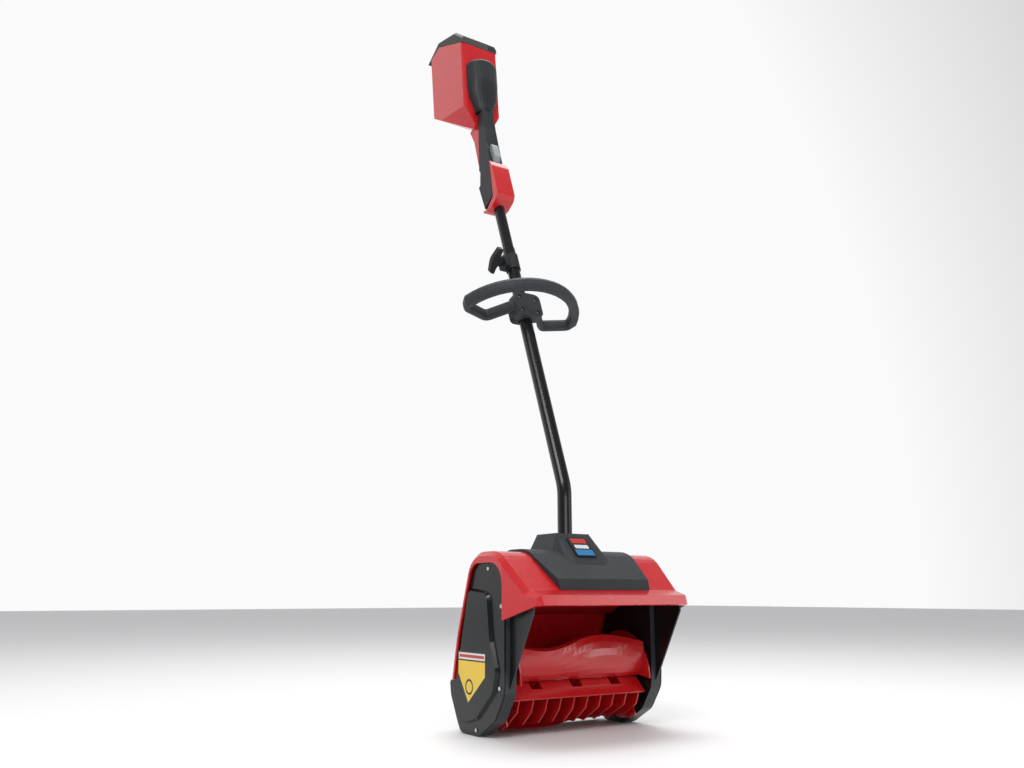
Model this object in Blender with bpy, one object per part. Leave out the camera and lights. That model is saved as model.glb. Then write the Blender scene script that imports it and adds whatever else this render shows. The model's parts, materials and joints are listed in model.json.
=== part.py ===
"""A cordless snow shovel: a paddle rotor under a hood, driven by a belt from an electric motor,
on a two-piece shaft that carries a loop handle, a trigger grip and a battery.

The head is drawn with Y = 0 at the rotor's axis and Z = 0 at the ground, -Y forwards.
The pieces on the shaft are drawn in the shaft's own frame: local Z runs up the shaft and
local Y points to its underside. At the end the whole shovel is moved so that the middle of
its footprint box is at the origin.
"""

import math

import bmesh
import bpy
from mathutils import Matrix, Vector

# Gaps
SEAT_GAP = 0.0003  # between two pieces that touch
FREE_GAP = 0.001  # around a piece that moves in a pocket
HOLE_GAP = 0.0002  # round a screw's shank

# Rotor
ROTOR_RADIUS = 0.084
GROUND_CLEARANCE = 0.004
ROTOR_END_GAP = 0.005
PADDLE_WALL = 0.005
PADDLE_RIBS = 10
RIB_WALL = 0.0024
UPPER_TIP_LEAN = math.radians(42.0)
LOWER_TIP_LEAN = math.radians(17.0)
TIP_WAVE = math.radians(12.0)
TIP_WAVE_SHIFT = 0.42
HUB_REACH = 0.040
HUB_RADIUS = 0.018
SHAFT_RADIUS = 0.006
WINDOW_WIDTH = 0.022

# Hood and side cases
HEAD_WIDTH = 0.350
HOOD_TOP = 0.303
HOOD_WALL = 0.0035
HOOD_CHAMFER = 0.008
REAR_CLEARANCE = 0.0055  # rotor tip to the hood's rear wall
HOOD_HEM = 0.086  # height of the hood's rear edge
CASE_FRONT = 0.075  # distance that the side cases reach ahead of the rotor's axis
SKIRT_HEIGHT = 0.189
LIP_REACH = 0.165
LIP_BOTTOM = 0.214
LIP_TOP = 0.230
LIP_NARROWING = 0.015  # each side of the lip, against the width at the side cases
CASE_DEPTH = 0.021
CASE_WALL = 0.003
FLANGE_SETBACK = 0.006  # side cover's flange, inside the hood's rim
FLANGE_WALL = 0.0027
FIELD_RISE = 0.0055
PANEL_WALL = 0.003
LINER_WALL = 0.0025
SCRAPER_WALL = 0.003

# Drive
MOTOR_RADIUS = 0.030
MOTOR_LENGTH = 0.095
MOTOR_DROP = 0.050  # motor's axis below the hood's top
MOTOR_AHEAD = 0.023
MOTOR_SHAFT_RADIUS = 0.004
MOTOR_PULLEY_RADIUS = 0.011
ROTOR_PULLEY_RADIUS = 0.032
BELT_WIDTH = 0.009
BELT_THICKNESS = 0.003
BEARING_RADIUS = 0.013
BEARING_WIDTH = 0.0045

# Motor cover
COVER_HALF_WIDTH = 0.110
COVER_WALL = 0.005
COVER_FRONT = 0.132
POD_TOP = 0.338
POD_CREST = 0.038  # how far ahead the top's front edge is
POD_NOSE = 0.115
POD_WALL = 0.003

# Shaft
SHAFT_LEAN = math.radians(19.8)
SHAFT_AHEAD = 0.015  # the tube's upright stub, ahead of the rotor's axis
BEND_HEIGHT = 0.423
BEND_RADIUS = 0.090
UPPER_TUBE_RADIUS = 0.0119
TUBE_WALL = 0.0011
LOWER_TUBE_LENGTH = 0.562  # from the bend's corner
UPPER_TUBE_OVERLAP = 0.130
HANDLE_STATION = 0.676  # where the grip's nose starts
TUBE_IN_HANDLE = 0.084
KNOB_STATION = 0.524
AUX_STATION = 0.402

# Loop handle
LOOP_RADIUS = 0.135
LOOP_FRONT = 0.087
LOOP_SWEEP = math.radians(71.0)
LOOP_BAR_WIDTH = 0.021
LOOP_BAR_HEIGHT = 0.026
CLAMP_WIDTH = 0.062
CLAMP_HEIGHT = 0.056
CLAMP_DEPTH = 0.024

# Grip
GRIP_HALF_WIDTH = 0.0165
BODY_HALF_WIDTH = 0.0205
NOSE_HALF_WIDTH = 0.0225
TRIGGER_HALF_WIDTH = 0.006
LOCKOUT_HALF_WIDTH = 0.008
BOOT_HALF_WIDTH = 0.040
BOOT_DEPTH = 0.032

# Battery housing
HOUSING_LEAN = math.radians(6.0)
HOUSING_STATION = 0.2504  # above the grip's nose
HOUSING_OFFSET = -0.0157
HOUSING_DEPTH = 0.168
HOUSING_HALF_WIDTH = 0.048
HOUSING_WALL = 0.0035
PACK_GAP = 0.001
TERMINAL_HEIGHT = 0.012

# Screws
SCREW_RADIUS = 0.0016
SCREW_HEAD_RADIUS = 0.0034
SCREW_HEAD_HEIGHT = 0.0016
BOSS_RADIUS = 0.0045

# Derived places
HALF_WIDTH = HEAD_WIDTH / 2
ROTOR_HEIGHT = ROTOR_RADIUS + GROUND_CLEARANCE
REAR = ROTOR_RADIUS + REAR_CLEARANCE + HOOD_WALL  # hood's rear face at its hem
CASE_OUTER = HALF_WIDTH - FLANGE_SETBACK - FLANGE_WALL - SEAT_GAP
CASE_INNER = CASE_OUTER - CASE_DEPTH
PANEL_TOP = HOOD_TOP - 0.020
LOWER_TUBE_RADIUS = UPPER_TUBE_RADIUS + SEAT_GAP + TUBE_WALL
MOTOR_HEIGHT = HOOD_TOP - MOTOR_DROP
HOOD_REAR_SLOPE = [(REAR, HOOD_HEM), (REAR - 0.015, 0.160), (REAR - 0.063, HOOD_TOP)]
RING_STEPS = 24


# ---- Scene and materials ----


def clear_scene():
    for obj in list(bpy.data.objects):
        bpy.data.objects.remove(obj, do_unlink=True)


def material(name, color, roughness, metallic=0.0):
    made = bpy.data.materials.new(name)
    made.use_nodes = True
    shader = made.node_tree.nodes["Principled BSDF"]
    shader.inputs["Base Color"].default_value = (*color, 1.0)
    shader.inputs["Roughness"].default_value = roughness
    shader.inputs["Metallic"].default_value = metallic
    made.diffuse_color = (*color, 1.0)
    return made


def make_materials():
    return {
        "red": material("red_plastic", (0.55, 0.02, 0.02), 0.3),
        "rotor_red": material("rotor_red", (0.50, 0.02, 0.02), 0.35),
        "grey": material("dark_grey_plastic", (0.035, 0.040, 0.045), 0.5),
        "black": material("gloss_black_plastic", (0.010, 0.010, 0.012), 0.25),
        "matte_black": material("matte_black_plastic", (0.020, 0.020, 0.022), 0.6),
        "tube": material("black_painted_tube", (0.012, 0.012, 0.013), 0.3, 0.3),
        "steel": material("steel", (0.60, 0.60, 0.60), 0.3, 1.0),
        "light_grey": material("light_grey_plastic", (0.25, 0.27, 0.28), 0.45),
        "rubber": material("belt_rubber", (0.015, 0.015, 0.015), 0.8),
        "copper": material("motor_can", (0.30, 0.30, 0.31), 0.4, 0.8),
        "label": material("label", (0.70, 0.70, 0.70), 0.4),
    }


def empty(name, location=(0, 0, 0), lean=0.0, parent=None):
    """A frame that pieces hang on. Lean tilts its Z towards +Y."""
    made = bpy.data.objects.new(name, None)
    bpy.context.scene.collection.objects.link(made)
    made.location = location
    made.rotation_euler = (-lean, 0, 0)
    made.parent = parent
    return made


def piece(name, bm, finish, parent, sharp=35):
    """An object from a closed bmesh, with its rounds shaded smooth."""
    bmesh.ops.recalc_face_normals(bm, faces=bm.faces)
    mesh = bpy.data.meshes.new(name)
    bm.to_mesh(mesh)
    bm.free()
    mesh.materials.append(finish)
    mesh.shade_smooth()
    mesh.set_sharp_from_angle(angle=math.radians(sharp))
    obj = bpy.data.objects.new(name, mesh)
    bpy.context.scene.collection.objects.link(obj)
    obj.parent = parent
    return obj


def boolean(target, bm, operation):
    """A Boolean on the target, with the operand's mesh in the target's own frame."""
    bmesh.ops.recalc_face_normals(bm, faces=bm.faces)
    mesh = bpy.data.meshes.new(target.name + "_tool")
    bm.to_mesh(mesh)
    bm.free()
    tool = bpy.data.objects.new(f"{target.name}_{operation.lower()}_{len(target.modifiers)}", mesh)
    bpy.context.scene.collection.objects.link(tool)
    tool.parent = target
    tool.hide_render = True
    tool.display_type = "WIRE"
    modifier = target.modifiers.new(operation.title(), "BOOLEAN")
    modifier.operation = operation
    modifier.solver = "EXACT"
    modifier.object = tool


def cut(target, *meshes):
    for bm in meshes:
        boolean(target, bm, "DIFFERENCE")


def join(target, *meshes):
    for bm in meshes:
        boolean(target, bm, "UNION")


# ---- Outlines ----


def rounded(corners, step=math.radians(18)):
    """A closed outline. Each corner is (u, v) or (u, v, radius), and a radius becomes an arc."""
    points = []
    count = len(corners)
    for i, corner in enumerate(corners):
        here = Vector(corner[:2])
        radius = corner[2] if len(corner) > 2 else 0.0
        before = Vector(corners[i - 1][:2]) - here
        after = Vector(corners[(i + 1) % count][:2]) - here
        if radius == 0.0:
            points.append(tuple(here))
            continue
        half = before.angle(after) / 2
        reach = radius / math.tan(half)
        centre = here + (before.normalized() + after.normalized()).normalized() * radius / math.sin(half)
        start = here + before.normalized() * reach - centre
        turn = math.pi - 2 * half
        steps = max(1, math.ceil(turn / step))
        side = 1 if before.cross(after) < 0 else -1
        for k in range(steps + 1):
            angle = side * turn * k / steps
            spoke = Matrix.Rotation(angle, 2) @ start
            points.append(tuple(centre + spoke))
    return points


def offset_line(points, distance):
    """The open line moved to its left by a distance, with mitred corners."""
    moved = []
    for i, point in enumerate(points):
        here = Vector(point)
        ways = []
        if i > 0:
            ways.append((here - Vector(points[i - 1])).normalized())
        if i < len(points) - 1:
            ways.append((Vector(points[i + 1]) - here).normalized())
        normals = [Vector((-way.y, way.x)) for way in ways]
        middle = sum(normals, Vector((0, 0))).normalized()
        moved.append(tuple(here + middle * distance / middle.dot(normals[0])))
    return moved


def inset(points, distance):
    """The closed outline shrunk by a distance."""
    area = sum(
        points[i - 1][0] * points[i][1] - points[i][0] * points[i - 1][1] for i in range(len(points))
    )
    looped = [points[-1], *points, points[0]]
    return offset_line(looped, distance if area > 0 else -distance)[1:-1]


def circle(u, v, radius, steps=RING_STEPS):
    turns = [2 * math.pi * k / steps for k in range(steps)]
    return [(u + radius * math.cos(a), v + radius * math.sin(a)) for a in turns]


def spread(low, high, count):
    return [low + (high - low) * k / (count - 1) for k in range(count)]


def box_outline(u_low, u_high, v_low, v_high, radius=0.0):
    corners = [(u_low, v_low), (u_high, v_low), (u_high, v_high), (u_low, v_high)]
    if radius == 0.0:
        return corners
    return rounded([(u, v, radius) for u, v in corners], math.radians(30))


# ---- Meshes ----


def across_x(outline, x):
    return [Vector((x, u, v)) for u, v in outline]


def across_y(outline, y):
    return [Vector((u, y, v)) for u, v in outline]


def across_z(outline, z):
    return [Vector((u, v, z)) for u, v in outline]


def loft(rings, bm=None):
    """A closed skin over rings of equal length, with flat ends."""
    bm = bm or bmesh.new()
    rows = [[bm.verts.new(point) for point in ring] for ring in rings]
    count = len(rows[0])
    for low, high in zip(rows, rows[1:]):
        for i in range(count):
            j = (i + 1) % count
            bm.faces.new((low[i], low[j], high[j], high[i]))
    bm.faces.new(rows[0][::-1])
    bm.faces.new(rows[-1])
    return bm


def prism(outline, low, high, across=across_x, bm=None):
    return loft([across(outline, low), across(outline, high)], bm)


def rod(radius, low, high, across=across_x, centre=(0, 0), steps=RING_STEPS, bm=None):
    return prism(circle(*centre, radius, steps), low, high, across, bm)


def turned(profile, across=across_x, centre=(0, 0), steps=RING_STEPS):
    """A solid of revolution. The profile is (height, radius) pairs, and its ends are flat."""
    return loft([across(circle(*centre, radius, steps), height) for height, radius in profile])


def sleeve(outer, inner, low, high, across=across_x, centre=(0, 0), steps=RING_STEPS):
    """A ring or tube with a hole through it."""
    bm = bmesh.new()
    sizes = [(outer, low), (outer, high), (inner, high), (inner, low)]
    rows = [
        [bm.verts.new(point) for point in across(circle(*centre, radius, steps), height)]
        for radius, height in sizes
    ]
    for k, row in enumerate(rows):
        after = rows[(k + 1) % 4]
        for i in range(steps):
            j = (i + 1) % steps
            bm.faces.new((row[i], row[j], after[j], after[i]))
    return bm


def swept(path, section, normal, shares=None):
    """A section carried along an open path in a plane. Its first value, which lies in that plane,
    is taken times a share at each point."""
    shares = shares or [1.0] * len(path)
    rings = []
    for i, point in enumerate(path):
        ahead = path[min(i + 1, len(path) - 1)] - path[max(i - 1, 0)]
        side = normal.cross(ahead).normalized()
        rings.append([point + side * a * shares[i] + normal * b for a, b in section])
    return loft(rings)


def slice_off(bm, point, normal):
    """Removes what lies on the normal's side of a plane, and closes the cut."""
    geometry = [*bm.verts, *bm.edges, *bm.faces]
    done = bmesh.ops.bisect_plane(
        bm, geom=geometry, plane_co=point, plane_no=normal, clear_outer=True
    )
    edges = [item for item in done["geom_cut"] if isinstance(item, bmesh.types.BMEdge)]
    bmesh.ops.holes_fill(bm, edges=edges)
    return bm


def bevel_where(bm, test, width, segments=2):
    """Bevels the edges whose two ends pass the test and are on one side of X = 0."""
    one_side = [edge for edge in bm.edges if edge.verts[0].co.x * edge.verts[1].co.x > 0]
    edges = [edge for edge in one_side if all(test(vert.co) for vert in edge.verts)]
    bmesh.ops.bevel(
        bm, geom=edges, offset=width, segments=segments, affect="EDGES", profile=0.5, clamp_overlap=True
    )
    return bm


def turn_about(bm, centre, angle, axis="X"):
    bmesh.ops.rotate(bm, verts=bm.verts, cent=centre, matrix=Matrix.Rotation(angle, 3, axis))
    return bm


def merged(*meshes):
    """Several closed meshes that don't touch, as one."""
    whole = bmesh.new()
    for bm in meshes:
        mesh = bpy.data.meshes.new("part_of_tool")
        bm.to_mesh(mesh)
        bm.free()
        whole.from_mesh(mesh)
        bpy.data.meshes.remove(mesh)
    return whole


def screw(name, tip, length, across, centre, finish, parent):
    """A pan-head screw. Its head is at the tip's far side from the shank: length is signed."""
    way = math.copysign(1, length)
    profile = [
        (tip, SCREW_HEAD_RADIUS * 0.8),
        (tip + way * SCREW_HEAD_HEIGHT * 0.4, SCREW_HEAD_RADIUS),
        (tip + way * SCREW_HEAD_HEIGHT, SCREW_HEAD_RADIUS),
        (tip + way * SCREW_HEAD_HEIGHT, SCREW_RADIUS),
        (tip + length, SCREW_RADIUS),
    ]
    bm = turned(profile, across, centre, 12)
    return piece(name, bm, finish, parent)


# ---- Head ----


def hood_line():
    """The hood's outer profile, from its rear hem over the top to the lip, as (y, z)."""
    rear, knee, crown = HOOD_REAR_SLOPE
    corners = [
        rear,
        (*knee, 0.120),
        (*crown, 0.050),
        (-0.058, HOOD_TOP, 0.060),
        (-COVER_FRONT, LIP_TOP + 0.0075, 0.012),
        (-LIP_REACH + 0.004, LIP_TOP),
        (-LIP_REACH, LIP_BOTTOM),
    ]
    return rounded(corners, math.radians(12))


def panel_outline(grow=0.0):
    """A side case's outline: an arch above, and a round foot on the ground."""
    top = PANEL_TOP
    corners = [
        (-CASE_FRONT, top, 0.036),
        (REAR - 0.070, top, 0.028),
        (REAR - 0.028, 0.158, 0.100),
        (REAR - 0.0135, HOOD_HEM - 0.001),
        (REAR + 0.011, HOOD_HEM - 0.001, 0.006),
        (REAR + 0.007, 0.060, 0.020),
        (REAR - 0.017, 0.018, 0.012),
        (REAR - 0.030, 0.000, 0.020),
        (0.006, 0.000, 0.030),
        (-0.046, 0.030, 0.030),
        (-CASE_FRONT + 0.002, 0.070, 0.030),
        (-CASE_FRONT, 0.100, 0.030),
    ]
    points = rounded(corners, math.radians(15))
    return inset(points, -grow) if grow else points


def field_outline():
    """The raised field on a side cover."""
    corners = [
        (0.037, 0.242, 0.014),
        (-0.030, 0.236, 0.018),
        (-0.040, 0.160, 0.050),
        (-0.060, 0.108, 0.020),
        (-0.050, 0.072, 0.018),
        (0.002, 0.026, 0.024),
        (0.050, 0.016, 0.016),
        (0.076, 0.046, 0.016),
        (0.078, 0.080, 0.030),
    ]
    return rounded(corners, math.radians(18))


def narrow_lip(bm):
    """Draws the front of the hood in, from the side cases to the lip."""
    geometry = [*bm.verts, *bm.edges, *bm.faces]
    start = Vector((0, -CASE_FRONT, 0))
    bmesh.ops.bisect_plane(bm, geom=geometry, plane_co=start, plane_no=(0, -1, 0))
    for vert in bm.verts:
        share = max(0.0, -CASE_FRONT - vert.co.y) / (LIP_REACH - CASE_FRONT)
        vert.co.x *= 1 - share * LIP_NARROWING / HALF_WIDTH
    return bm


def hood_body(wall):
    """The hood's outer or, with a wall, its inner form. The inner form is open below."""
    line = hood_line()
    drop = 0.030 if wall else 0.0
    lower = [(-CASE_FRONT, SKIRT_HEIGHT - drop), (0.0, HOOD_HEM - drop)]
    rings = []
    for way in (-1, 1):
        ends = [(HALF_WIDTH - wall, HOOD_CHAMFER), (HALF_WIDTH - HOOD_CHAMFER - wall / 2, 0.0)]
        for x, chamfer in ends if way < 0 else ends[::-1]:
            shifted = offset_line(line, wall + chamfer)
            if wall:
                shifted[0] = (shifted[0][0], shifted[0][1] - drop)
                shifted[-1] = (shifted[-1][0], shifted[-1][1] - drop)
            else:
                shifted[0] = (shifted[0][0], HOOD_HEM)
                shifted[-1] = (shifted[-1][0], LIP_BOTTOM)
            rings.append(across_x(shifted + lower, way * x))
    return narrow_lip(loft(rings))


def make_hood(finish, parent):
    hood = piece("hood_shell", hood_body(0.0), finish, parent)
    cut(hood, hood_body(HOOD_WALL))
    for way in (-1, 1):
        inside, outside = way * (CASE_INNER - 0.005), way * (HALF_WIDTH + 0.01)
        cut(hood, prism(panel_outline(0.0006), *sorted((inside, outside))))
    return hood


def cover_outline():
    """The motor cover's section: it lies on the hood, and its front stands up to a flat top."""
    kept = [point for point in hood_line() if point[1] > 0.150 and point[0] > -COVER_FRONT + 0.003]
    under = offset_line(kept, -SEAT_GAP)
    over = offset_line(kept, -COVER_WALL)
    front = -COVER_FRONT - 0.0005
    return under + [(front, LIP_TOP + 0.0083), (front + 0.006, LIP_TOP + 0.0265)] + over[::-1]


def cover_corner(way):
    """What is cut from a front corner of the motor cover."""
    half = COVER_HALF_WIDTH
    inner = [(half - 0.001, -0.080), (half - 0.016, -COVER_FRONT - 0.010)]
    outer = [(half + 0.020, -COVER_FRONT - 0.010), (half + 0.020, -0.080)]
    return prism([(way * x, y) for x, y in inner + outer], 0.200, 0.300, across_z)


def pod_points(shrink=0.0):
    """Corners of the pod's convex hull, drawn in by a wall."""
    top = POD_TOP - shrink
    half = [
        (0.036, -POD_CREST, top),
        (0.036, 0.022, top),
        (0.049, -0.090, 0.279),
        (0.031, -POD_NOSE, 0.258),
        (0.058, 0.034, 0.285),
        (0.058, -0.050, 0.292),
        (0.050, 0.048, 0.262),
        (0.030, -0.060, 0.240),
        (0.030, 0.030, 0.240),
    ]
    points = []
    for x, y, z in half:
        shift = shrink if y < -0.030 else -shrink
        for way in (-1, 1):
            points.append(Vector((way * (x - shrink), y + shift, z - (shrink if z < top else 0))))
    return points


def hull(points):
    bm = bmesh.new()
    for point in points:
        bm.verts.new(point)
    done = bmesh.ops.convex_hull(bm, input=bm.verts)
    loose = [item for item in done["geom_interior"] if isinstance(item, bmesh.types.BMVert)]
    bmesh.ops.delete(bm, geom=loose, context="VERTS")
    return bm


def make_motor_cover(finish, parent):
    half = COVER_HALF_WIDTH
    cover = piece("motor_cover", prism(cover_outline(), -half, half), finish, parent)
    cut(cover, cover_corner(-1), cover_corner(1))
    join(cover, hull(pod_points()))
    below = offset_line(hood_line(), -SEAT_GAP) + [(-COVER_FRONT, 0.100), (0.050, 0.100)]
    cut(cover, hull(pod_points(POD_WALL)))
    cut(cover, prism(below, -half - 0.01, half + 0.01))
    hole = LOWER_TUBE_RADIUS + SEAT_GAP
    cut(cover, rod(hole, POD_TOP - 0.02, POD_TOP + 0.02, across_z, (0, -SHAFT_AHEAD)))
    return cover


def make_label_plate(finish, parent):
    """A plain plate on the pod's sloping front."""
    lean = math.atan2(POD_NOSE - POD_CREST, POD_TOP - 0.258)
    plate = prism(box_outline(-0.023, 0.023, 0.050, 0.100, 0.006), -0.0011, -SEAT_GAP, across_y)
    turn_about(plate, (0, 0, 0), -lean)
    bmesh.ops.translate(plate, verts=plate.verts, vec=(0, -POD_NOSE, 0.258))
    return piece("label_plate", plate, finish, parent)


def screw_places():
    """Where a side cover's screws are, as (y, z)."""
    return [
        (-0.024, PANEL_TOP - 0.009),
        (-CASE_FRONT + 0.009, 0.212),
        (-CASE_FRONT + 0.013, 0.082),
        (0.011, 0.010),
    ]


def make_side(way, finishes, parent):
    """A side case with its wing panel, its cover and screws. Way is -1 on the left, 1 on the right."""
    side = "left" if way < 0 else "right"
    low, high = sorted((way * CASE_INNER, way * CASE_OUTER))
    case = piece(f"side_case_{side}", prism(panel_outline(), low, high), finishes["black"], parent)
    floor = way * (CASE_INNER + CASE_WALL)
    beyond = way * (CASE_OUTER + 0.005)
    cut(case, prism(inset(panel_outline(), CASE_WALL), *sorted((floor, beyond))))
    wing = [
        (-CASE_FRONT + 0.001, 0.080),
        (-0.143, 0.203),
        (-0.143, 0.220),
        (-CASE_FRONT + 0.001, 0.262),
    ]
    wing_x = way * (HALF_WIDTH - 0.020)
    join(case, prism(wing, *sorted((wing_x, wing_x + way * PANEL_WALL))))
    posts = [
        rod(BOSS_RADIUS, *sorted((floor - way * 0.001, way * CASE_OUTER)), centre=place, steps=12)
        for place in screw_places()
    ]
    join(case, merged(*posts))
    holes = [
        rod(SCREW_RADIUS + HOLE_GAP, *sorted((floor + way * 0.001, beyond)), centre=place, steps=12)
        for place in screw_places()
    ]
    seat = rod(
        BEARING_RADIUS + SEAT_GAP,
        *sorted((way * (CASE_INNER - 0.001), floor + way * 0.001)),
        centre=(0, ROTOR_HEIGHT),
    )
    cut(case, merged(*holes), seat)
    if way < 0:
        hole = rod(
            0.007,
            *sorted((way * (CASE_INNER - 0.001), floor + way * 0.001)),
            centre=(-MOTOR_AHEAD, MOTOR_HEIGHT),
        )
        cut(case, hole)

    back = way * (CASE_OUTER + SEAT_GAP)
    front = back + way * FLANGE_WALL
    name = "belt_cover" if way < 0 else "end_cover"
    cover = piece(name, prism(panel_outline(-0.0002), *sorted((back, front))), finishes["black"], parent)
    outline = field_outline()
    rings = [(back + way * 0.001, 0.0), (front, 0.0), (front + way * FIELD_RISE, 0.004)]
    join(cover, loft([across_x(inset(outline, shrink), x) for x, shrink in rings[:: way]]))
    hollow = [(back - way * 0.001, 0.004), (front + way * (FIELD_RISE - 0.0025), 0.007)]
    cut(cover, loft([across_x(inset(outline, shrink), x) for x, shrink in hollow[:: way]]))
    holes = [
        rod(
            SCREW_RADIUS + HOLE_GAP,
            *sorted((back - way * 0.001, front + way * 0.001)),
            centre=place,
            steps=12,
        )
        for place in screw_places()
    ]
    cut(cover, merged(*holes))
    for number, place in enumerate(screw_places(), 1):
        tip = front + way * (SEAT_GAP + SCREW_HEAD_HEIGHT)
        screw(f"cover_screw_{side}_{number}", tip, -way * 0.012, across_x, place, finishes["steel"], parent)
    bearing = sleeve(
        BEARING_RADIUS, SHAFT_RADIUS + SEAT_GAP, *sorted((way * CASE_INNER, way * (CASE_INNER + BEARING_WIDTH))), centre=(0, ROTOR_HEIGHT)
    )
    piece(f"bearing_{side}", bearing, finishes["steel"], parent)


def make_chamber(finishes, parent):
    half = CASE_INNER - SEAT_GAP
    line = [
        (REAR - 0.055, 0.198),
        (REAR - 0.085, 0.214),
        (-0.030, 0.2205),
        (-0.090, 0.2215),
        (-LIP_REACH + 0.010, 0.2190),
    ]
    liner = line + offset_line(line, LINER_WALL)[::-1]
    piece("chamber_liner", prism(liner, -half, half), finishes["red"], parent)
    foot = (REAR - 0.017, GROUND_CLEARANCE)
    hem = (REAR + 0.0004, HOOD_HEM - 0.002)
    tab = (REAR - 0.0038, HOOD_HEM + 0.020)
    inner = [foot, hem, tab]
    outer = offset_line(inner, -SCRAPER_WALL)
    blade = piece("scraper_blade", prism(inner + outer[::-1], -half, half), finishes["black"], parent)
    return blade


def make_drive(finishes, parent, motor_body, rotor_body):
    motor_x = -CASE_INNER + SEAT_GAP
    centre = (-MOTOR_AHEAD, MOTOR_HEIGHT)
    can = [
        (motor_x, MOTOR_RADIUS * 0.8),
        (motor_x + 0.004, MOTOR_RADIUS),
        (motor_x + MOTOR_LENGTH, MOTOR_RADIUS),
    ]
    motor = piece("motor_can", turned(can, centre=centre), finishes["copper"], parent)
    cut(
        motor,
        rod(MOTOR_SHAFT_RADIUS + SEAT_GAP, motor_x - 0.001, motor_x + 0.050, centre=centre, steps=16),
    )
    belt_x = -CASE_INNER - CASE_WALL - 0.003 - BELT_WIDTH
    shaft = rod(MOTOR_SHAFT_RADIUS, belt_x, motor_x + 0.048, steps=16)
    piece("motor_shaft", shaft, finishes["steel"], motor_body)
    for name, radius, bore, body in (
        ("motor_pulley", MOTOR_PULLEY_RADIUS, MOTOR_SHAFT_RADIUS, motor_body),
        ("rotor_pulley", ROTOR_PULLEY_RADIUS, SHAFT_RADIUS, rotor_body),
    ):
        ring = sleeve(radius, bore + SEAT_GAP, belt_x, belt_x + BELT_WIDTH)
        piece(name, ring, finishes["matte_black"], body)
    low = Vector((0, ROTOR_HEIGHT))
    high = Vector(centre)
    loops = []
    for extra in (SEAT_GAP, SEAT_GAP + BELT_THICKNESS):
        loops.append(belt_loop(low, ROTOR_PULLEY_RADIUS + extra, high, MOTOR_PULLEY_RADIUS + extra))
    belt = bmesh.new()
    rows = [
        [belt.verts.new(point) for point in across_x(loops[k], x)]
        for k, x in ((0, belt_x), (1, belt_x), (1, belt_x + BELT_WIDTH), (0, belt_x + BELT_WIDTH))
    ]
    for k, row in enumerate(rows):
        after = rows[(k + 1) % 4]
        for i in range(len(row)):
            j = (i + 1) % len(row)
            belt.faces.new((row[i], row[j], after[j], after[i]))
    piece("drive_belt", belt, finishes["rubber"], parent)
    controller = prism(box_outline(-0.085, -0.020, 0.232, 0.262, 0.003), 0.010, 0.100)
    piece("motor_controller", controller, finishes["matte_black"], parent)


def belt_loop(low, low_radius, high, high_radius, steps=14):
    """The outline of a belt round two pulleys."""
    along = (high - low).normalized()
    across = Vector((-along.y, along.x))
    lift = math.asin((low_radius - high_radius) / (high - low).length)
    points = []
    for centre, radius, start, sweep in (
        (low, low_radius, math.pi / 2 - lift, math.pi + 2 * lift),
        (high, high_radius, -math.pi / 2 - lift + 2 * lift, math.pi - 2 * lift),
    ):
        for k in range(steps + 1):
            angle = start + sweep * k / steps
            points.append(
                tuple(centre + along * math.cos(angle) * radius + across * math.sin(angle) * radius)
            )
    return points


# ---- Rotor ----


def tip_angle(x, way):
    """How far the paddle's tip leans ahead of upright, along the rotor."""
    share = way * x / (CASE_INNER - ROTOR_END_GAP)
    middle = UPPER_TIP_LEAN if way > 0 else LOWER_TIP_LEAN
    return middle - TIP_WAVE * math.cos(math.pi * (share - TIP_WAVE_SHIFT))


def on_wheel(radius, angle):
    """A point of the rotor's section: the angle grows from upright to the front."""
    return (-radius * math.sin(angle), radius * math.cos(angle))


def paddle_section(x, way):
    """One paddle's section in the rotor's frame: a curved vane from the hub to the tip."""
    tip = tip_angle(x, way)
    root = math.radians(90)
    steps = 7
    ahead = []
    behind = []
    for k in range(steps + 1):
        share = k / steps
        angle = root + (tip - root) * share
        radius = HUB_REACH + (ROTOR_RADIUS - HUB_REACH) * share**0.8
        ahead.append(on_wheel(radius, angle))
        behind.append(on_wheel(radius - PADDLE_WALL * (1 - 0.4 * share), angle - 0.10 * share))
    return ahead + behind[::-1]


def paddle_rib(x, way):
    tip = tip_angle(x, way)
    reach = ROTOR_RADIUS - 0.007
    edge = [
        (0.008, 0.011),
        (-0.034, 0.004),
        on_wheel(0.050, math.radians(75)),
        on_wheel(0.062, (tip + 1.0) / 2),
        on_wheel(reach, tip - 0.02),
    ]
    if way < 0:
        edge += [on_wheel(reach - 0.002, tip - 0.5), (0.050, 0.048), (0.0585, 0.0250), (0.038, 0.0045)]
    else:
        edge.append(on_wheel(reach * 0.80, tip - 0.45))
    return prism(edge, x - RIB_WALL / 2, x + RIB_WALL / 2)


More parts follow.
